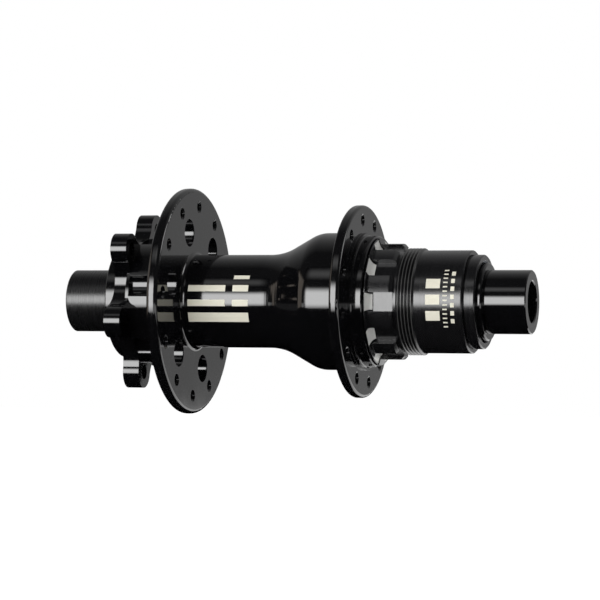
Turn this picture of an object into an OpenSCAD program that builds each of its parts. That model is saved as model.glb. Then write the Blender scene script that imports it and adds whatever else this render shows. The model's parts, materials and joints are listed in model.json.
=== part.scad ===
// Rear bicycle hub for a disc brake and a through axle.
// +X runs along the axle to the drive side, +Z is up, and the origin lies midway between the end faces.
// Clock angles are in degrees from +Z toward +Y. The wheel rolls forward as they grow.

/* [Overall] */
// End face to end face
hub_width = 142; // [138:1:172]
// Bore for the frame's through axle
through_bore_d = 12.1; // [10:0.1:12.6]
// Outside diameter of both end caps
cap_d = 18.6; // [18:0.1:19]

/* [Brake side] */
// End face to the face that the rotor bolts to
rotor_setback = 19; // [17:0.5:22]
// Register that centres the rotor
register_d = 34; // [33:0.1:36]
// Length of the register
register_length = 3.2; // [3:0.1:4]
// Bolt circle of the rotor
rotor_pcd = 44; // [43:0.5:46]
// Tapping size of the rotor bolt holes
rotor_hole_d = 4.3; // [4:0.1:5]
// Thickness of the rotor tabs
tab_thickness = 5; // [4:0.5:6]
// Diameter of the shell between the tabs and the flange
neck_d = 37.6; // [37:0.1:39]

/* [Flanges and tube] */
// Hub centre to the brake-side flange's middle
left_flange_offset = 34.1; // [32:0.1:36]
// Brake-side flange diameter
left_flange_d = 67.7; // [66:0.1:80]
// Brake-side flange thickness
left_flange_thickness = 3.4; // [3:0.1:4]
// Brake-side spoke circle
left_spoke_pcd = 57; // [56:0.5:60]
// Hub centre to the drive-side flange's middle
right_flange_offset = 19.3; // [18:0.1:21]
// Drive-side flange diameter
right_flange_d = 56.8; // [54:0.1:68]
// Drive-side flange thickness
right_flange_thickness = 3; // [2.6:0.1:3.6]
// Drive-side spoke circle
right_spoke_pcd = 48.2; // [46:0.1:49]
// Spoke hole
spoke_hole_d = 2.6; // [2.4:0.1:2.8]
// Outside diameter of the middle tube
tube_d = 27.74; // [27:0.01:34]
// Wall of the middle tube
tube_wall = 1.87; // [1.5:0.01:2.4]

/* [Driver] */
// Diameter over the spline ridges
spline_d = 34.06; // [33.6:0.01:34.6]
// Diameter of the barrel and of the spline's root
barrel_d = 30.1; // [29.6:0.1:30.6]
// Length from the driver's shoulder to its nose
driver_length = 31.7; // [30:0.1:40]
// Diameter of the nose
nose_d = 27.5; // [27:0.1:28.5]
// Pitch of the thread
thread_pitch = 1; // [0.8:0.1:1.2]

/* [Bearings] */
// Bore of all four bearings
bearing_bore_d = 15; // [14.9:0.05:15.1]
// Outside diameter of the shell's bearings
shell_bearing_d = 28; // [27.8:0.1:28.4]
// Width of the shell's bearings
shell_bearing_width = 7; // [7:0.1:8]
// Outside diameter of the driver's bearings
driver_bearing_d = 24; // [23.8:0.1:24.4]
// Width of the driver's bearings
driver_bearing_width = 5; // [5:0.1:6]

/* [Ratchet] */
// Outside diameter of the ratchet ring
ratchet_d = 34.8; // [34.6:0.1:35.4]
// Length of the ratchet ring
ratchet_length = 8.2; // [7:0.1:8.4]
// Diameter of the pawl carrier
carrier_d = 27; // [26.6:0.1:27.2]

/* [Hidden] */
$fn = 96;

eps = 0.5;            // how far a cutter runs past the face it opens
fit_gap = 0.02;       // between pieces pressed or clamped together
race_gap = 0.08;      // between a ball and its groove
pocket_gap = 0.06;    // between a ball and its cage
seal_gap = 0.2;       // between a seal's lip and what turns in it
edge_break = 0.3;     // chamfer on turned ends

// Brake side, from the end face inward
left_end = -hub_width / 2;
right_end = hub_width / 2;
rotor_face = left_end + rotor_setback;
register_end = rotor_face - register_length;
seal_recess_depth = 2.7;
left_bearing_x = register_end + seal_recess_depth;
left_bearing_end = left_bearing_x + shell_bearing_width;
tab_back = rotor_face + tab_thickness;

// Shell, toward the drive side
right_boss_length = 4.2;
shell_end = right_flange_offset + right_flange_thickness / 2 + right_boss_length;
seal_land_length = 3.6;
ratchet_x = shell_end - seal_land_length - ratchet_length;
ratchet_end = ratchet_x + ratchet_length;
bearing_lip = 1.2;
hub_bearing_x = ratchet_x - bearing_lip - shell_bearing_width;
hub_bearing_end = hub_bearing_x + shell_bearing_width;
tube_r = tube_d / 2;
tube_bore_r = tube_r - tube_wall;
shell_seat_r = shell_bearing_d / 2;
ratchet_r = ratchet_d / 2;
left_flange_in = -left_flange_offset + left_flange_thickness / 2;
relief_r = 4.15;       // the round cutter that grooves the neck and runs on through the flange
relief_centre_r = register_d / 2 + relief_r + 0.06;

// Flare from the tube to the drive-side flange: a hollow arc, a straight slope, a round arc
flare_angle = 29;
flare_x = -8.4;
flare_hollow_r = 17;
flare_top_r = 20.27;
flare_round_r = 8.73;
flare_steps = 12;

// Driver, from its shoulder outward
shoulder_gap = 0.3;
driver_x = shell_end + shoulder_gap;
driver_end = driver_x + driver_length;
inboard_x = driver_x + 0.7;
inboard_end = inboard_x + driver_bearing_width;
nose_depth = 1.4;     // outboard bearing's face to the nose's end
outboard_end = driver_end - nose_depth;
outboard_x = outboard_end - driver_bearing_width;
driver_seat_r = driver_bearing_d / 2;
driver_bore_r = driver_seat_r - 1.5;
spacer_r = bearing_bore_d / 2 + 1.7;
carrier_bore_r = spacer_r + 0.5;
carrier_r = carrier_d / 2;
carrier_x = ratchet_x + 0.2;
seal_land_r = 14.5;
spline_r = spline_d / 2;
barrel_r = barrel_d / 2;
nose_r = nose_d / 2;
spline_count = 10;
groove_width = 5.6;
spline_end = driver_x + 7.9;
thread_x = driver_x + 8.9;
thread_r = 15.7;
thread_root_r = 15.15;
thread_turns = 5;
thread_end = thread_x + thread_turns * thread_pitch;
nose_x = driver_end - 3;

// Axle and what is clamped on it
bore_r = bearing_bore_d / 2;
axle_r = bore_r - fit_gap;
axle_shoulder_r = bore_r + 1.1;
axle_left = left_bearing_x - 7.5;
axle_right = outboard_end + 4.9;
cap_r = cap_d / 2;
through_bore_r = through_bore_d / 2;
cap_land_r = cap_r - 0.2;   // where the dust seal's lip runs
cap_floor_gap = 0.5;
cap_flange_r = 11.4;
cap_flange_end = driver_end + 1.4;
o_ring_r = 0.45;
o_ring_centre_r = bore_r + fit_gap + o_ring_r;
o_ring_groove_r = o_ring_centre_r + o_ring_r + 0.03;
o_ring_groove_width = 1.2;
left_o_ring_x = left_bearing_x - 4.5;
right_o_ring_x = outboard_end + 2;

// Ball sets: [pitch radius, ball radius, number, inner land, outer land, cage half width, cage half thickness]
function ball_set(outer_d, ball_r, number, half_gap, cage_half_width, cage_half_wall) =
    let (pitch_r = (bearing_bore_d + outer_d) / 4)
        [pitch_r, ball_r, number, pitch_r - half_gap, pitch_r + half_gap, cage_half_width, cage_half_wall];
shell_set = ball_set(shell_bearing_d, 1.984, 11, 1.05, 2.6, 0.5);
driver_set = ball_set(driver_bearing_d, 1.19, 15, 0.75, 1.64, 0.3);

// Ratchet teeth and pawls, as a section looking along the axle, heel at the top
tooth_count = 36;
tooth_tip_r = 14.2;
tooth_root_r = 15.4;
pawl_count = 4;
heel_height = 12.1;
heel_r = 1.2;
heel_gap = 0.05;
tip_angle = 20;
backlash_angle = 2.7;  // from the pawls' ends to the tooth faces, so that a pawl can drop in clear
pawl_end_gap = 0.15;
pocket_x = carrier_x + 0.55;
pocket_length = ratchet_length - 1.2;
pocket_floor = 10.7;

function polar(radius, angle) = [radius * sin(angle), radius * cos(angle)];
function arc(centre, radius, from, to, steps) =
    [for (i = [0 : steps]) let (a = from + (to - from) * i / steps)
        [centre[0] + radius * cos(a), centre[1] + radius * sin(a)]];

// A solid of revolution about the axle from an outline of [x, radius] points
module turned(outline)
    rotate([0, 90, 0]) rotate_extrude() polygon([for (p = outline) [p[1], p[0]]]);

// The same from a flat shape drawn as [radius, x]
module turned_shape(x)
    rotate([0, 90, 0]) translate([0, 0, x]) rotate_extrude() children();

module rod(x0, x1, radius)
    translate([x0, 0, 0]) rotate([0, 90, 0]) cylinder(h = x1 - x0, r = radius);

module ring(x0, x1, outer_r, inner_r)
    difference() {
        rod(x0, x1, outer_r);
        rod(x0 - eps, x1 + eps, inner_r);
    }

// A section drawn as [y, z], drawn out along the axle
module along(x0, x1)
    translate([x0, 0, 0]) rotate([90, 0, 90]) linear_extrude(x1 - x0) children();

module around(count, phase = 0)
    for (i = [0 : count - 1]) rotate([-phase - i * 360 / count, 0, 0]) children();

// ---- Shell ----

module flange(middle, thickness, radius, edge)
    turned_shape(middle) union() {
        translate([0, -thickness / 2]) square([radius - edge, thickness]);
        translate([0, edge - thickness / 2]) square([radius, thickness - 2 * edge]);
        for (side = [-1, 1])
            translate([radius - edge, side * (thickness / 2 - edge)]) circle(r = edge);
    }

module spoke_holes(middle, thickness, pcd, phase)
    around(12, phase) translate([middle, 0, pcd / 2]) {
        rod(-thickness / 2 - eps, thickness / 2 + eps, spoke_hole_d / 2);
        for (side = [0, 180]) rotate([0, 0, side])
            translate([thickness / 2 - 0.6, 0, 0]) rotate([0, 90, 0])
                cylinder(h = 0.7, r1 = spoke_hole_d / 2, r2 = spoke_hole_d / 2 + 0.7);
    }

// Six lobes on the bolt circle, with hollows between them that touch each lobe's round
module rotor_tabs() {
    lobe_r = 4.75;
    hollow_r = 8;
    hollow_centre = rotor_pcd / 2 + 3.5;
    along(rotor_face, tab_back) difference() {
        union() {
            circle(r = rotor_pcd / 2);
            for (i = [0 : 5]) rotate(-14 - 60 * i) translate([0, rotor_pcd / 2]) circle(r = lobe_r);
        }
        for (i = [0 : 5]) rotate(16 - 60 * i) translate([0, hollow_centre]) circle(r = hollow_r);
    }
}

module shell_outside() {
    fillet_r = 1.2;
    flare_start = [flare_x, tube_r];
    slope_start = [flare_x + flare_hollow_r * sin(flare_angle), tube_r + flare_hollow_r * (1 - cos(flare_angle))];
    round_rise = flare_round_r * (1 - cos(flare_angle));
    slope_end = [slope_start[0] + (flare_top_r - round_rise - slope_start[1]) / tan(flare_angle),
        flare_top_r - round_rise];
    round_centre = [slope_end[0] + flare_round_r * sin(flare_angle), flare_top_r - flare_round_r];
    turned(concat(
        [[register_end, 0], [register_end, register_d / 2 - edge_break],
            [register_end + edge_break, register_d / 2], [tab_back - 1, register_d / 2],
            [tab_back - 1, neck_d / 2], [left_flange_in, neck_d / 2]],
        [[left_flange_in, tube_r + fillet_r]],
        arc([left_flange_in + fillet_r, tube_r + fillet_r], fillet_r, 180, 270, 5),
        arc([flare_x, tube_r + flare_hollow_r], flare_hollow_r, 270, 270 + flare_angle, flare_steps),
        arc(round_centre, flare_round_r, 90 + flare_angle, 90, flare_steps),
        [[right_flange_offset + right_flange_thickness / 2 + 1, flare_top_r],
            [right_flange_offset + right_flange_thickness / 2 + 1, 19.6],
            [right_flange_offset + right_flange_thickness / 2 + 1.3, 19.3],
            [shell_end - edge_break, 19.3], [shell_end, 19.3 - edge_break], [shell_end, 0]]));
}

module hub_shell()
    color("#151515") difference() {
        union() {
            shell_outside();
            flange(-left_flange_offset, left_flange_thickness, left_flange_d / 2, 1.2);
            flange(right_flange_offset, right_flange_thickness, right_flange_d / 2, 0.9);
            rotor_tabs();
        }
        rod(register_end - eps, shell_end + eps, tube_bore_r);
        rod(register_end - eps, left_bearing_x, shell_seat_r + 0.5);
        rod(left_bearing_x - eps, left_bearing_end, shell_seat_r);
        rod(hub_bearing_x, ratchet_x + eps, shell_seat_r);
        rod(ratchet_x, shell_end + eps, ratchet_r);
        around(6, 14) translate([0, 0, rotor_pcd / 2])
            rod(rotor_face - eps, tab_back + eps, rotor_hole_d / 2);
        around(6, -16) translate([0, 0, relief_centre_r])
            rod(tab_back, left_flange_in + eps, relief_r);
        spoke_holes(-left_flange_offset, left_flange_thickness, left_spoke_pcd, 5.3);
        spoke_holes(right_flange_offset, right_flange_thickness, right_spoke_pcd, -8);
    }

module ratchet_ring() {
    pitch = 360 / tooth_count;
    color("#6a6d70") along(ratchet_x, ratchet_end) difference() {
        circle(r = ratchet_r - fit_gap);
        polygon([for (i = [0 : tooth_count - 1]) each [
            polar(tooth_tip_r, i * pitch + backlash_angle),
            polar(tooth_tip_r, (i + 0.15) * pitch + backlash_angle),
            polar(tooth_root_r, (i + 0.9) * pitch + backlash_angle),
            polar(tooth_root_r, (i + 1) * pitch + backlash_angle)]]);
    }
}

module left_dust_seal() {
    outer_r = shell_seat_r + 0.5 - fit_gap;
    color("#202020") turned([[register_end + 0.3, outer_r], [left_bearing_x - 0.2, outer_r],
        [left_bearing_x - 0.2, outer_r - 1.9], [left_bearing_x - 1, outer_r - 1.9],
        [left_bearing_x - 1, cap_land_r + 0.7], [left_bearing_x - 1.7, cap_land_r + seal_gap],
        [register_end + 0.3, cap_land_r + seal_gap + 0.4]]);
}

module driver_seal() {
    x0 = ratchet_end + 0.6;
    x1 = shell_end - 0.3;
    color("#202020") turned([[x0, ratchet_r - fit_gap], [x1, ratchet_r - fit_gap],
        [x1, ratchet_r - 1], [x1 - 0.9, seal_land_r + seal_gap], [x1 - 1.5, seal_land_r + seal_gap],
        [x0, ratchet_r - 1.4]]);
}

// ---- Bearings ----

module inner_race(x, width, set)
    color("#b9bcc0") turned_shape(x) difference() {
        translate([bore_r, 0]) square([set[3] - bore_r, width]);
        translate([set[0], width / 2]) circle(r = set[1] + race_gap);
    }

module outer_race(x, width, outer_r, set)
    color("#b9bcc0") turned_shape(x) difference() {
        translate([set[4], 0]) square([outer_r - fit_gap - set[4], width]);
        translate([set[0], width / 2]) circle(r = set[1] + race_gap);
    }

module shields(x, width, set)
    color("#1c1c1e") for (start = [0.15, width - 0.45])
        ring(x + start, x + start + 0.3, set[4] - fit_gap, set[3] + 0.15);

module ball_places(x, width, set)
    around(set[2]) translate([x + width / 2, 0, set[0]]) children();

module balls(x, width, set)
    color("#d5d8dc") ball_places(x, width, set) sphere(r = set[1], $fn = 32);

module cage(x, width, set)
    color("#8d7a4a") difference() {
        ring(x + width / 2 - set[5], x + width / 2 + set[5], set[0] + set[6], set[0] - set[6]);
        ball_places(x, width, set) sphere(r = set[1] + pocket_gap, $fn = 32);
    }

// ---- Axle and caps ----

module axle()
    color("#8f9296") turned([[axle_left, through_bore_r], [axle_left, axle_r - 0.2], [axle_left + 0.2, axle_r],
        [left_bearing_end, axle_r], [left_bearing_end, axle_shoulder_r],
        [hub_bearing_x, axle_shoulder_r], [hub_bearing_x, axle_r],
        [axle_right - 0.2, axle_r], [axle_right, axle_r - 0.2], [axle_right, through_bore_r]]);

module left_end_cap() {
    floor_x = axle_left - cap_floor_gap;
    color("#1a1a1a") turned([[left_end, through_bore_r + edge_break], [left_end, cap_r - edge_break],
        [left_end + edge_break, cap_r], [register_end - 0.5, cap_r], [register_end - 0.5, cap_land_r],
        [left_bearing_x, cap_land_r], [left_bearing_x, bore_r],
        [left_o_ring_x + o_ring_groove_width / 2, bore_r],
        [left_o_ring_x + o_ring_groove_width / 2, o_ring_groove_r],
        [left_o_ring_x - o_ring_groove_width / 2, o_ring_groove_r],
        [left_o_ring_x - o_ring_groove_width / 2, bore_r],
        [floor_x, bore_r], [floor_x, through_bore_r], [left_end + edge_break, through_bore_r]]);
}

module right_end_cap() {
    floor_x = axle_right + cap_floor_gap;
    color("#101010") turned([[right_end, through_bore_r + edge_break], [right_end, cap_r - edge_break],
        [right_end - edge_break, cap_r], [cap_flange_end + 0.5, cap_r],
        [cap_flange_end + 0.4, cap_r - 0.2], [cap_flange_end, cap_r - 0.2],
        [cap_flange_end, cap_flange_r - 0.4], [cap_flange_end - 0.4, cap_flange_r],
        [outboard_end + 0.4, cap_flange_r], [outboard_end + 0.4, 9], [outboard_end, 9],
        [outboard_end, bore_r], [right_o_ring_x - o_ring_groove_width / 2, bore_r],
        [right_o_ring_x - o_ring_groove_width / 2, o_ring_groove_r],
        [right_o_ring_x + o_ring_groove_width / 2, o_ring_groove_r],
        [right_o_ring_x + o_ring_groove_width / 2, bore_r],
        [floor_x, bore_r], [floor_x, through_bore_r], [right_end - edge_break, through_bore_r]]);
}

module o_ring(x)
    color("#262626") turned_shape(x) translate([o_ring_centre_r, 0]) circle(r = o_ring_r);

module spacer(x0, x1)
    color("#9a9da1") ring(x0, x1, spacer_r, bore_r);

// ---- Driver ----

module driver_core()
    turned(concat(
        [[carrier_x, 0], [carrier_x, carrier_r - edge_break], [carrier_x + edge_break, carrier_r],
            [ratchet_end + 0.4, carrier_r], [ratchet_end + 0.4, seal_land_r], [driver_x, seal_land_r],
            [driver_x, barrel_r], [thread_x - 0.2, barrel_r], [thread_x, thread_root_r]],
        [for (i = [0 : thread_turns - 1]) each [
            [thread_x + (i + 0.42) * thread_pitch, thread_r],
            [thread_x + (i + 0.58) * thread_pitch, thread_r],
            [thread_x + (i + 1) * thread_pitch, thread_root_r]]],
        [[thread_end + 0.2, barrel_r], [nose_x - 0.4 - edge_break, barrel_r],
            [nose_x - 0.4, barrel_r - edge_break], [nose_x - 0.4, nose_r - 0.35], [nose_x, nose_r - 0.35],
            [nose_x, nose_r], [driver_end - edge_break, nose_r], [driver_end, nose_r - edge_break],
            [driver_end, 0]]));

// One groove of the spline, with the scoop that the cutter leaves where it runs out at the shoulder
module spline_groove() {
    scoop_length = 1.9;
    scoop_rise = 3.9;
    centre = [driver_x + 0.25 + scoop_length, barrel_r + scoop_rise];
    outline = concat(
        [for (a = [180 : 15 : 270]) [centre[0] + scoop_length * cos(a), centre[1] + scoop_rise * sin(a)]],
        [[spline_end + eps, barrel_r], [spline_end + eps, centre[1] + 1],
            [centre[0] - scoop_length, centre[1] + 1]]);
    rotate([90, 0, 0]) linear_extrude(groove_width, center = true) polygon(outline);
}

module spline()
    difference() {
        turned([[driver_x, barrel_r - 1], [driver_x, 18.5], [driver_x + 0.2, 18.7], [driver_x + 0.5, 18.7],
            [driver_x + 0.8, spline_r], [spline_end - 0.8, spline_r], [spline_end, spline_r - 0.85],
            [spline_end, barrel_r - 1]]);
        difference() {
            around(spline_count, -90) spline_groove();
            rod(driver_x - eps, spline_end + 2 * eps, barrel_r);
        }
    }

module pawl_pocket() {
    translate([0, heel_height]) circle(r = heel_r + heel_gap);
    polygon([[-0.5, heel_height], [-0.5, tooth_tip_r], [6.1, tooth_tip_r], [6.1, pocket_floor],
        [0.5, pocket_floor], [0.5, heel_height]]);
}

module freehub_body()
    color("#131313") difference() {
        union() {
            driver_core();
            spline();
        }
        rod(carrier_x - eps, driver_end + eps, carrier_bore_r);
        rod(inboard_x, inboard_end, driver_seat_r);
        rod(inboard_end - eps, outboard_x + eps, driver_bore_r);
        rod(outboard_x, driver_end + eps, driver_seat_r);
        rod(outboard_end + 0.05, outboard_end + 0.9, driver_seat_r + 0.5);
        around(pawl_count) along(pocket_x, pocket_x + pocket_length) pawl_pocket();
    }

module bearing_circlip()
    color("#55585c") along(outboard_end + 0.08, outboard_end + 0.85) difference() {
        circle(r = driver_seat_r + 0.45);
        circle(r = cap_flange_r + 0.2);
        translate([-2, -driver_seat_r - 1]) square([4, 4]);
    }

// A pawl points the way the wheel rolls, and its end face bears on a tooth
module pawl(i)
    color("#74777b") rotate([-i * 360 / pawl_count, 0, 0]) union() {
        translate([0, 0, heel_height])
            rod(pocket_x + pawl_end_gap, pocket_x + pocket_length - pawl_end_gap, heel_r);
        along(pocket_x + pawl_end_gap, pocket_x + pocket_length - pawl_end_gap)
            polygon([[-0.2, heel_height + 1], polar(13.7, 12.5), polar(15, tip_angle),
                polar(13.5, tip_angle), [0.2, heel_height - 1]]);
    }

// The leaf lies on the pocket's floor, pressed down as far as a retracted pawl needs
module pawl_spring(i)
    color("#a8abb0") rotate([-i * 360 / pawl_count, 0, 0])
        along(pocket_x + 1.5, pocket_x + pocket_length - 1.5)
            polygon([[1.4, pocket_floor], [3, pocket_floor], [5.4, pocket_floor + 0.25],
                [5.4, pocket_floor + 0.47], [3, pocket_floor + 0.22], [1.4, pocket_floor + 0.22]]);

axle();
left_end_cap();
right_end_cap();
o_ring(left_o_ring_x);  // left_cap_o_ring
o_ring(right_o_ring_x);  // right_cap_o_ring
spacer(hub_bearing_end, inboard_x);  // clutch_spacer
spacer(inboard_end, outboard_x);  // driver_spacer
hub_shell();
ratchet_ring();
left_dust_seal();
driver_seal();
freehub_body();
bearing_circlip();
pawl(0);  // pawl_1
pawl(1);  // pawl_2
pawl(2);  // pawl_3
pawl(3);  // pawl_4
pawl_spring(0);  // pawl_spring_1
pawl_spring(1);  // pawl_spring_2
pawl_spring(2);  // pawl_spring_3
pawl_spring(3);  // pawl_spring_4
inner_race(left_bearing_x, shell_bearing_width, shell_set);  // left_bearing_inner_race
outer_race(left_bearing_x, shell_bearing_width, shell_seat_r, shell_set);  // left_bearing_outer_race
shields(left_bearing_x, shell_bearing_width, shell_set);  // left_bearing_shields
balls(left_bearing_x, shell_bearing_width, shell_set);  // left_bearing_balls
cage(left_bearing_x, shell_bearing_width, shell_set);  // left_bearing_cage
inner_race(hub_bearing_x, shell_bearing_width, shell_set);  // hub_bearing_inner_race
outer_race(hub_bearing_x, shell_bearing_width, shell_seat_r, shell_set);  // hub_bearing_outer_race
shields(hub_bearing_x, shell_bearing_width, shell_set);  // hub_bearing_shields
balls(hub_bearing_x, shell_bearing_width, shell_set);  // hub_bearing_balls
cage(hub_bearing_x, shell_bearing_width, shell_set);  // hub_bearing_cage
inner_race(inboard_x, driver_bearing_width, driver_set);  // driver_inboard_inner_race
outer_race(inboard_x, driver_bearing_width, driver_seat_r, driver_set);  // driver_inboard_outer_race
shields(inboard_x, driver_bearing_width, driver_set);  // driver_inboard_shields
balls(inboard_x, driver_bearing_width, driver_set);  // driver_inboard_balls
cage(inboard_x, driver_bearing_width, driver_set);  // driver_inboard_cage
inner_race(outboard_x, driver_bearing_width, driver_set);  // driver_outboard_inner_race
outer_race(outboard_x, driver_bearing_width, driver_seat_r, driver_set);  // driver_outboard_outer_race
shields(outboard_x, driver_bearing_width, driver_set);  // driver_outboard_shields
balls(outboard_x, driver_bearing_width, driver_set);  // driver_outboard_balls
cage(outboard_x, driver_bearing_width, driver_set);  // driver_outboard_cage
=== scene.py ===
# %% [markdown]
# # A gloss black rear hub
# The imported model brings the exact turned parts. Everything here is about their finish: black
# anodised aluminium, ground steel, bare turned metal, rubber, and the marks etched into the black.

# %% Tools and frame
import bpy
import json
import math
from mathutils import Matrix, Vector


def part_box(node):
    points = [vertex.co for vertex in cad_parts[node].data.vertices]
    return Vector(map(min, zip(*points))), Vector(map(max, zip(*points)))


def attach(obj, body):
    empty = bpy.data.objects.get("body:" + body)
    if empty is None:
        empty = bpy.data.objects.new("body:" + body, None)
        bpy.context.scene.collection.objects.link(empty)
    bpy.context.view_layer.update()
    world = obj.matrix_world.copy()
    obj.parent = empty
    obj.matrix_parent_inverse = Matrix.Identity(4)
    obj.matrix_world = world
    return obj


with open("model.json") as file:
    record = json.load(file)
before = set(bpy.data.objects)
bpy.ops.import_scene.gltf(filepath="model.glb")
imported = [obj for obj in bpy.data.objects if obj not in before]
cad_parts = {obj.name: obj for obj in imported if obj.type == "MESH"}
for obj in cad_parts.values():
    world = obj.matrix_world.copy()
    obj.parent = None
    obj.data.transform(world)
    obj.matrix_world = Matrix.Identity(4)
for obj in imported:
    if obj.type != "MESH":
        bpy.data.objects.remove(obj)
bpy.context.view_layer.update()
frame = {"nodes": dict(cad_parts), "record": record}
MM = 0.001

# %% [markdown]
# The driver's place comes from the frame. Its radii and lengths are the turned part's own, and so
# are the radii of the two surfaces that carry marks: a 13.87 mm tube and a 15.05 mm barrel.

# %% Places
SHOULDER_TO_BEARING = 0.7 * MM
DRIVER_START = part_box("driver_inboard_inner_race")[0][0] - SHOULDER_TO_BEARING
DRIVER_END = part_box("freehub_body")[1][0]
TUBE_R = 13.87 * MM
BARREL_R = 15.05 * MM
SHOULDER_R = 18.7 * MM
SCOOP_START = DRIVER_START + 0.3 * MM
SCOOP_END = DRIVER_START + 1.9 * MM
THREAD_START = DRIVER_START + 8.9 * MM
THREAD_END = THREAD_START + 5 * MM
CREST_R = 15.6 * MM
print("driver from", round(DRIVER_START / MM, 2), "to", round(DRIVER_END / MM, 2), "mm")


# %% [markdown]
# Colours are written as the hex values that a screen shows, and one function makes them linear,
# because the shaders do their sums in linear light.

# %% Colour
def colour(hex_code):
    """An sRGB hex value as linear red, green, blue and alpha."""
    parts = [int(hex_code[i:i + 2], 16) / 255 for i in (1, 3, 5)]
    return [p / 12.92 if p <= 0.04045 else ((p + 0.055) / 1.055) ** 2.4 for p in parts] + [1.0]


# %% [markdown]
# One helper adds a node, sets what it is given, and wires what comes from other nodes. A value
# that is an output socket becomes a link, and anything else is the socket's own setting.

# %% Node helper
def add(tree, kind, settings=None, **inputs):
    """A node of that kind; inputs are named as sockets, _ for a space, or in0, in1 by number."""
    node = tree.nodes.new(kind)
    for key, value in (settings or {}).items():
        setattr(node, key, value)
    for key, value in inputs.items():
        by_number = key[:2] == "in" and key[2:].isdigit()
        socket = node.inputs[int(key[2:])] if by_number else node.inputs[key.replace("_", " ")]
        if isinstance(value, bpy.types.NodeSocket):
            tree.links.new(value, socket)
        else:
            socket.default_value = value
    return node


def maths(tree, operation, a, b=0.0):
    return add(tree, "ShaderNodeMath", {"operation": operation}, in0=a, in1=b).outputs[0]


def new_material(name):
    material = bpy.data.materials.new(name)
    material.use_nodes = True
    tree = material.node_tree
    tree.nodes.clear()
    shader = add(tree, "ShaderNodeBsdfPrincipled")
    output = add(tree, "ShaderNodeOutputMaterial")
    tree.links.new(shader.outputs[0], output.inputs[0])
    return material, tree, shader


def turned_grain(tree, pitch, across):
    """The feed marks of a lathe tool: fine rings along the axle, a little uneven round it."""
    place = add(tree, "ShaderNodeTexCoord").outputs["Object"]
    stretched = add(tree, "ShaderNodeMapping", Vector=place, Scale=(1 / pitch, across, across))
    return add(tree, "ShaderNodeTexNoise", Vector=stretched.outputs[0], Scale=1.0, Detail=3.0,
               Roughness=0.6).outputs[0]


def soften(tree, shader, grain, depth, edge):
    """Bump from the grain, over a small round on every edge, which is what catches the light."""
    rounded = add(tree, "ShaderNodeBevel", {"samples": 4}, Radius=edge)
    bump = add(tree, "ShaderNodeBump", Strength=1.0, Distance=depth, Height=grain,
               Normal=rounded.outputs[0])
    tree.links.new(bump.outputs[0], shader.inputs["Normal"])


GRAIN_LOW, GRAIN_HIGH = 0.3, 0.7    # nearly all of the noise lies between these


def vary_roughness(tree, shader, grain, low, high):
    """Roughness that follows the grain from low to high."""
    spread = add(tree, "ShaderNodeMapRange", in0=grain, in1=GRAIN_LOW, in2=GRAIN_HIGH,
                 in3=low, in4=high)
    tree.links.new(spread.outputs[0], shader.inputs["Roughness"])


# %% [markdown]
# Anodising grows a hard clear oxide on aluminium, and a black dye sealed in its pores hides the
# metal. So it shades like a black dielectric and not like bare metal: dark body, sharp
# reflections, and an index near 1.7 because the oxide is alumina. Polished before the bath it is
# gloss, and blasted it is satin.

# %% Anodised finishes
ALUMINA_INDEX = 1.72


def anodised(name, black, low, high, pitch, depth, edge):
    """Dyed oxide between two blacks; the roughness runs from low to high with the grain."""
    material, tree, shader = new_material(name)
    shader.inputs["IOR"].default_value = ALUMINA_INDEX
    grain = turned_grain(tree, pitch, across=60)
    dye = add(tree, "ShaderNodeMix", {"data_type": "RGBA"}, in0=grain,
              in6=colour(black[0]), in7=colour(black[1]))
    tree.links.new(dye.outputs[2], shader.inputs["Base Color"])
    vary_roughness(tree, shader, grain, low, high)
    soften(tree, shader, grain, depth, edge)
    return material, tree, shader, dye


gloss_black = anodised("gloss black anodised aluminium", ("#070708", "#0C0C0E"),
                       0.05, 0.10, 0.4 * MM, 0.0006 * MM, 0.12 * MM)[0]
satin_black = anodised("satin black anodised aluminium", ("#0B0B0C", "#141416"),
                       0.24, 0.34, 0.25 * MM, 0.002 * MM, 0.12 * MM)[0]


# %% [markdown]
# On the driver a pale, partly metallic colour is painted in where highlights show: faintly on the
# thread's crests, and brightly in the scoops where the spline cutter ran out. Both are found from
# the place on the part: the distance along the axle, the distance from it, and the angle within
# one of ten ridges.

# %% Driver finish and painted highlights
RIDGES = 10.0
GROOVE_COSINE = 0.1     # of the angle times the number of ridges; a groove lies above it
CREST_HIGHLIGHT = 0.05       # how far a painted highlight lightens a crest
# How metallic the painted highlight is.
HIGHLIGHT_METALLIC = 0.3
SCOOP_ROUGHER = 0.25    # the cutter's run-out is coarser than the rest


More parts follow.
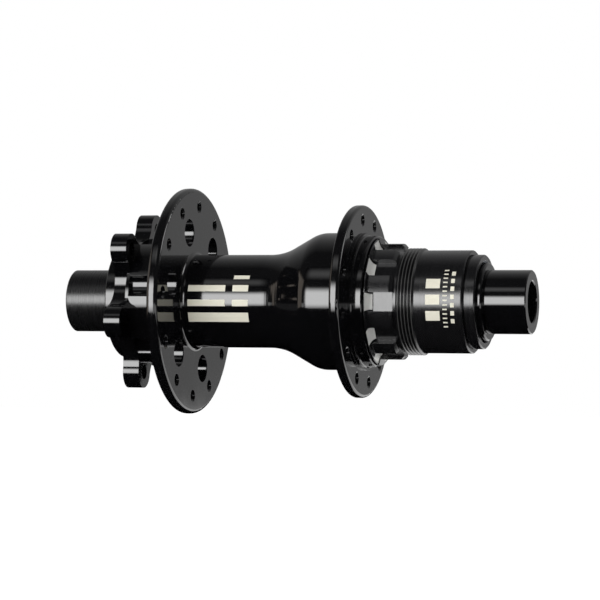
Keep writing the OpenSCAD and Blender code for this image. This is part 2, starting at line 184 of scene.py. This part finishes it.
def driver_finish_and_highlights():
    material, tree, shader, dye = anodised("satin black anodised driver", ("#0C0C0D", "#161618"),
                                           0.16, 0.26, 0.25 * MM, 0.0015 * MM, 0.15 * MM)
    x, y, z = add(tree, "ShaderNodeSeparateXYZ",
                  Vector=add(tree, "ShaderNodeTexCoord").outputs["Object"]).outputs
    radius = maths(tree, "SQRT", maths(tree, "ADD", maths(tree, "MULTIPLY", y, y),
                                       maths(tree, "MULTIPLY", z, z)))
    angle = maths(tree, "ARCTAN2", z, maths(tree, "MULTIPLY", y, -1.0))
    ripple = maths(tree, "COSINE", maths(tree, "MULTIPLY", angle, RIDGES))
    groove = maths(tree, "GREATER_THAN", ripple, GROOVE_COSINE)

    def between(value, low, high):
        return maths(tree, "MULTIPLY", maths(tree, "GREATER_THAN", value, low),
                     maths(tree, "LESS_THAN", value, high))

    scoop = maths(tree, "MULTIPLY", groove, maths(
        tree, "MULTIPLY", between(x, SCOOP_START, SCOOP_END),
        between(radius, BARREL_R + 0.05 * MM, SHOULDER_R)))
    crest = maths(tree, "MULTIPLY", between(x, THREAD_START, THREAD_END),
                  maths(tree, "GREATER_THAN", radius, CREST_R))
    # Painted highlight: the dye is mixed toward a pale, partly metallic colour, fully in the
    # scoops and faintly on the crests.
    bright = maths(tree, "MAXIMUM", scoop, maths(tree, "MULTIPLY", crest, CREST_HIGHLIGHT))
    highlighted_dye = add(tree, "ShaderNodeMix", {"data_type": "RGBA"}, in0=bright,
               in6=dye.outputs[2], in7=colour("#DCDCD8"))
    tree.links.new(highlighted_dye.outputs[2], shader.inputs["Base Color"])
    tree.links.new(maths(tree, "MULTIPLY", bright, HIGHLIGHT_METALLIC), shader.inputs["Metallic"])
    polish = shader.inputs["Roughness"].links[0].from_socket
    tree.links.new(maths(tree, "ADD", polish, maths(tree, "MULTIPLY", scoop, SCOOP_ROUGHER)),
                   shader.inputs["Roughness"])
    return material


driver_black = driver_finish_and_highlights()


# %% [markdown]
# Bare metals keep their own colour in every reflection, so they are fully metallic, and what sets
# them apart is colour and how sharply they mirror: a turned axle, ground races, polished balls,
# hardened ratchet teeth and blued springs.

# %% Metals, rubber and polymer
def metal(name, dark, light, low, high, pitch, depth):
    """Bare metal with lathe or grinding marks of that pitch and depth."""
    material, tree, shader = new_material(name)
    shader.inputs["Metallic"].default_value = 1.0
    grain = turned_grain(tree, pitch, across=90)
    tone = add(tree, "ShaderNodeMix", {"data_type": "RGBA"}, in0=grain,
               in6=colour(dark), in7=colour(light))
    tree.links.new(tone.outputs[2], shader.inputs["Base Color"])
    vary_roughness(tree, shader, grain, low, high)
    soften(tree, shader, grain, depth, 0.06 * MM)
    return material


def moulded(name, dark, light, low, high, grit):
    """Rubber or plastic with the fine grit of its mould."""
    material, tree, shader = new_material(name)
    place = add(tree, "ShaderNodeTexCoord").outputs["Object"]
    grain = add(tree, "ShaderNodeTexNoise", Vector=place, Scale=1 / grit, Detail=4.0).outputs[0]
    tone = add(tree, "ShaderNodeMix", {"data_type": "RGBA"}, in0=grain,
               in6=colour(dark), in7=colour(light))
    tree.links.new(tone.outputs[2], shader.inputs["Base Color"])
    vary_roughness(tree, shader, grain, low, high)
    soften(tree, shader, grain, 0.01 * MM, 0.08 * MM)
    return material


finishes = {
    "gloss_anodised_aluminium": gloss_black,
    "satin_anodised_aluminium": satin_black,
    "bare_aluminium": metal("turned bare aluminium", "#B8BABC", "#D2D3D4",
                            0.25, 0.38, 0.2 * MM, 0.003 * MM),
    "bearing_steel": metal("ground bearing steel", "#A6A8AB", "#C2C4C6",
                           0.14, 0.24, 0.15 * MM, 0.001 * MM),
    "ball_steel": metal("polished bearing balls", "#C6C8CA", "#D4D6D8",
                        0.04, 0.07, 1 * MM, 0.0002 * MM),
    "ratchet_steel": metal("hardened ratchet steel", "#6E6E6E", "#86868A",
                           0.28, 0.4, 0.3 * MM, 0.003 * MM),
    "spring_steel": metal("blued spring steel", "#50555E", "#6C727C",
                          0.2, 0.32, 0.3 * MM, 0.001 * MM),
    "seal_rubber": moulded("moulded nitrile rubber", "#101010", "#1B1B1B", 0.5, 0.65, 0.4 * MM),
    "cage_polymer": moulded("moulded cage polymer", "#7A6638", "#93794A", 0.4, 0.55, 0.5 * MM),
}
for part in frame["record"]["subparts"]:
    node = frame["nodes"][part["node"]]
    node.data.materials.clear()
    node.data.materials.append(finishes[part["material_slot"]])
frame["nodes"]["freehub_body"].data.materials[0] = driver_black
print("finishes", len(finishes) + 1)

# %% [markdown]
# The marks are laser etched: the beam burns off the dye and leaves pale bare oxide, flat and matt.
# They are plain bars and ticks. Each starts as an open cylinder a hair proud of its surface, the
# faces outside its sectors are deleted, and Solidify gives what is left its hair of thickness.

# %% Etched marks
etched, etched_tree, etched_shader = new_material("laser etched oxide")
etched_shader.inputs["IOR"].default_value = ALUMINA_INDEX
SPECKLE = 0.12 * MM
speckle = add(etched_tree, "ShaderNodeTexNoise", Scale=1 / SPECKLE, Detail=2.0,
              Vector=add(etched_tree, "ShaderNodeTexCoord").outputs["Object"]).outputs[0]
pale = add(etched_tree, "ShaderNodeMix", {"data_type": "RGBA"}, in0=speckle,
           in6=colour("#D6D2BE"), in7=colour("#E9E6D6"))
etched_tree.links.new(pale.outputs[2], etched_shader.inputs["Base Color"])
vary_roughness(etched_tree, etched_shader, speckle, 0.45, 0.6)

PROUD = 0.05 * MM
SUNK = 0.02 * MM
BAND_FACES = 720        # half a degree each


def etched_band(name, body, radius, start, end, sectors):
    """Bars on a cylinder between two places on the axle; sectors are degrees above the front."""
    bpy.ops.object.select_all(action="DESELECT")
    bpy.ops.mesh.primitive_cylinder_add(
        vertices=BAND_FACES, radius=radius + PROUD, depth=end - start, end_fill_type="NOTHING",
        location=((start + end) / 2, 0, 0), rotation=(0, math.pi / 2, 0))
    band = bpy.context.object
    band.name = name
    bpy.ops.object.transform_apply(location=True, rotation=True, scale=True)
    bpy.ops.object.mode_set(mode="EDIT")
    bpy.ops.mesh.select_mode(type="FACE")
    bpy.ops.mesh.select_all(action="DESELECT")
    bpy.ops.object.mode_set(mode="OBJECT")
    for face in band.data.polygons:
        height = math.degrees(math.atan2(face.center.z, -face.center.y))
        face.select = not any(low < height < high for low, high in sectors)
    bpy.ops.object.mode_set(mode="EDIT")
    bpy.ops.mesh.delete(type="FACE")
    bpy.ops.object.mode_set(mode="OBJECT")
    wall = band.modifiers.new("wall", "SOLIDIFY")
    wall.thickness = PROUD + SUNK
    wall.offset = -1
    bpy.ops.object.modifier_apply(modifier=wall.name)
    bpy.ops.object.shade_smooth_by_angle(angle=math.radians(30))
    band.data.materials.append(etched)
    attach(band, body)
    return band


TUBE_MARK = (-30.1 * MM, -11.3 * MM)
MARK_LENGTH = TUBE_MARK[1] - TUBE_MARK[0]
etched_band("tube_mark_long", "shell", TUBE_R, *TUBE_MARK, [(-26, -14)])
etched_band("tube_mark_pair", "shell", TUBE_R, TUBE_MARK[0], TUBE_MARK[0] + 0.62 * MARK_LENGTH,
            [(-6, 2), (12, 20)])
etched_band("tube_mark_end", "shell", TUBE_R, TUBE_MARK[0] + 0.74 * MARK_LENGTH, TUBE_MARK[1],
            [(-6, 2), (12, 20), (28, 33)])
etched_band("barrel_mark_blocks", "driver", BARREL_R, 42.9 * MM, 47.1 * MM,
            [(a, a + 11) for a in (-21, -3, 15)])
etched_band("barrel_mark_scale", "driver", BARREL_R, 48.0 * MM, 49.3 * MM,
            [(a, a + 1.5) for a in range(-29, 41, 5)])
etched_band("barrel_mark_dashes", "driver", BARREL_R, 50.3 * MM, 51.4 * MM,
            [(a, a + 5) for a in range(-24, 34, 9)])


# %% [markdown]
# A gloss black part shows its surroundings more than itself. A tall card beside the camera draws
# the bright band along each cylinder, a dimmer one above it fills the upper shoulder, and a warm
# one on the brake side tints the flare. Two black cards, below and far behind, keep the
# undersides dark, and the rear card is for views from behind. Lamps that show in no reflection
# light the marks.

# %% Studio
HARD_EDGE = 0.001       # a fade too narrow to see


def card(name, size, place, aim, strength, tint="#FFFFFF", fade=HARD_EDGE):
    """A flat card that faces a point, shows only in reflections, and dims toward its edges."""
    bpy.ops.mesh.primitive_plane_add(size=1, location=place)
    sheet = bpy.context.object
    sheet.name = name
    sheet.scale = (size[0], size[1], 1)
    away = sheet.location - aim
    sheet.rotation_euler = away.to_track_quat("Z", "Y").to_euler()
    material = bpy.data.materials.new(name)
    material.use_nodes = True
    tree = material.node_tree
    tree.nodes.clear()
    across = add(tree, "ShaderNodeSeparateXYZ",
                 Vector=add(tree, "ShaderNodeTexCoord").outputs["Generated"]).outputs
    light = strength
    for share in (across[0], across[1]):
        margin = maths(tree, "MINIMUM", share, maths(tree, "SUBTRACT", 1.0, share))
        ramp = add(tree, "ShaderNodeMapRange", {"interpolation_type": "SMOOTHSTEP"},
                   in0=margin, in1=0.0, in2=fade, in3=0.0, in4=1.0)
        light = maths(tree, "MULTIPLY", ramp.outputs[0], light)
    glow = add(tree, "ShaderNodeEmission", Color=colour(tint), Strength=light)
    tree.links.new(glow.outputs[0], add(tree, "ShaderNodeOutputMaterial").inputs[0])
    sheet.data.materials.append(material)
    sheet.visible_camera = False
    sheet.visible_diffuse = False
    sheet.visible_shadow = False


def around_hub(distance, azimuth, elevation):
    """A place that far from the centre; azimuth 0 is the front and grows to the drive side."""
    a, e = math.radians(azimuth), math.radians(elevation)
    return distance * Vector((math.sin(a) * math.cos(e), -math.cos(a) * math.cos(e), math.sin(e)))


HUB_CENTRE = Vector((0, 0, 0))
card("band card", (0.75, 0.62), around_hub(0.9, -19, 5), HUB_CENTRE, 7.0, fade=0.3)
card("shoulder card", (1.3, 0.42), around_hub(0.95, -10, 45), HUB_CENTRE, 0.75, fade=0.5)
card("flare card", (0.75, 1.0), around_hub(0.9, -72, 4), HUB_CENTRE, 0.75, "#FFF1E2", fade=0.1)
card("rear card", (0.6, 0.6), around_hub(1.2, 120, 20), HUB_CENTRE, 3.0, fade=0.4)
card("near black card", (2.6, 1.3), Vector((0, -0.45, -0.25)), Vector((0, -0.45, 0)), 0.0)
card("far black card", (7, 6), Vector((-3.45, 2.4, -0.12)), Vector((-3.45, 2.4, 0)), 0.0)


def lamp(name, place, size, power):
    """A square lamp that faces the hub's centre and shows in no reflection."""
    data = bpy.data.lights.new(name, "AREA")
    data.shape = "SQUARE"
    data.size = size
    data.energy = power
    light = bpy.data.objects.new(name, data)
    bpy.context.collection.objects.link(light)
    light.location = place
    light.rotation_euler = light.location.to_track_quat("Z", "Y").to_euler()
    light.visible_glossy = False


lamp("front lamp", around_hub(1.2, -20, 25), 0.8, 7.5)
lamp("side lamp", around_hub(1.3, 70, 20), 0.8, 4)
lamp("back lamp", around_hub(1.3, 190, 35), 0.8, 5)

# %% [markdown]
# The floor is pale and lies well below the hub. The world is white to the camera, and in
# reflections it is dim in front and paler behind, as a white wall behind the hub would be.

# %% Floor and world
FLOOR_SIZE = 12
FLOOR_Z = -0.3
FLOOR_GLOW = 0.8
DIM_FRONT, PALE_BACK = 0.03, 0.34
FILL = 0.4
bpy.ops.mesh.primitive_plane_add(size=FLOOR_SIZE, location=(0, 0, FLOOR_Z))
floor = bpy.context.object
floor.name = "floor"
floor_material = bpy.data.materials.new("pale floor")
floor_material.use_nodes = True
tree = floor_material.node_tree
tree.nodes.clear()
ray = add(tree, "ShaderNodeLightPath")
seen = maths(tree, "MAXIMUM", ray.outputs["Is Camera Ray"],
             maths(tree, "MAXIMUM", ray.outputs["Is Glossy Ray"],
                   ray.outputs["Is Transmission Ray"]))
pale_floor = add(tree, "ShaderNodeBsdfDiffuse", Color=colour("#F2F2F2"))
glow = add(tree, "ShaderNodeEmission", Color=(1, 1, 1, 1),
           Strength=maths(tree, "MULTIPLY", seen, FLOOR_GLOW))
both = add(tree, "ShaderNodeAddShader", in0=pale_floor.outputs[0], in1=glow.outputs[0])
tree.links.new(both.outputs[0], add(tree, "ShaderNodeOutputMaterial").inputs[0])
floor.data.materials.append(floor_material)

world = bpy.data.worlds.new("studio")
bpy.context.scene.world = world
world.use_nodes = True
tree = world.node_tree
tree.nodes.clear()
ray = add(tree, "ShaderNodeLightPath")
direction = add(tree, "ShaderNodeSeparateXYZ",
                Vector=add(tree, "ShaderNodeTexCoord").outputs["Generated"])
behind = add(tree, "ShaderNodeMapRange", in0=direction.outputs[1], in1=0.0, in2=0.7,
             in3=DIM_FRONT, in4=PALE_BACK)
level = add(tree, "ShaderNodeMix", {"data_type": "FLOAT"}, in0=ray.outputs["Is Glossy Ray"],
            in2=FILL, in3=behind.outputs[0])
shown = add(tree, "ShaderNodeMix", {"data_type": "FLOAT"}, in0=ray.outputs["Is Camera Ray"],
            in2=level.outputs[0], in3=1.0)
sky = add(tree, "ShaderNodeBackground", Color=(1, 1, 1, 1), Strength=shown.outputs[0])
tree.links.new(sky.outputs[0], add(tree, "ShaderNodeOutputWorld").inputs[0])

# %% [markdown]
# A long lens from far off keeps the hub's proportions. The camera stands level with the axle, a
# little to the drive side, and is turned about its own axis by a sixth of a degree.

# %% Camera
camera_data = bpy.data.cameras.new("camera")
camera_data.sensor_width = 36
camera_data.lens = 160.3
camera = bpy.data.objects.new("camera", camera_data)
bpy.context.collection.objects.link(camera)
AZIMUTH = math.radians(17.75)
ROLL = 0.0029
DISTANCE = 0.794
SHIFT = (0.4 * MM, 0.42 * MM)
stand = (Matrix.Rotation(AZIMUTH, 4, "Z") @ Matrix.Rotation(math.pi / 2, 4, "X")
         @ Matrix.Rotation(ROLL, 4, "Z"))
camera.matrix_world = stand @ Matrix.Translation((*SHIFT, DISTANCE))
bpy.context.scene.camera = camera
bpy.context.scene.view_settings.view_transform = "Standard"
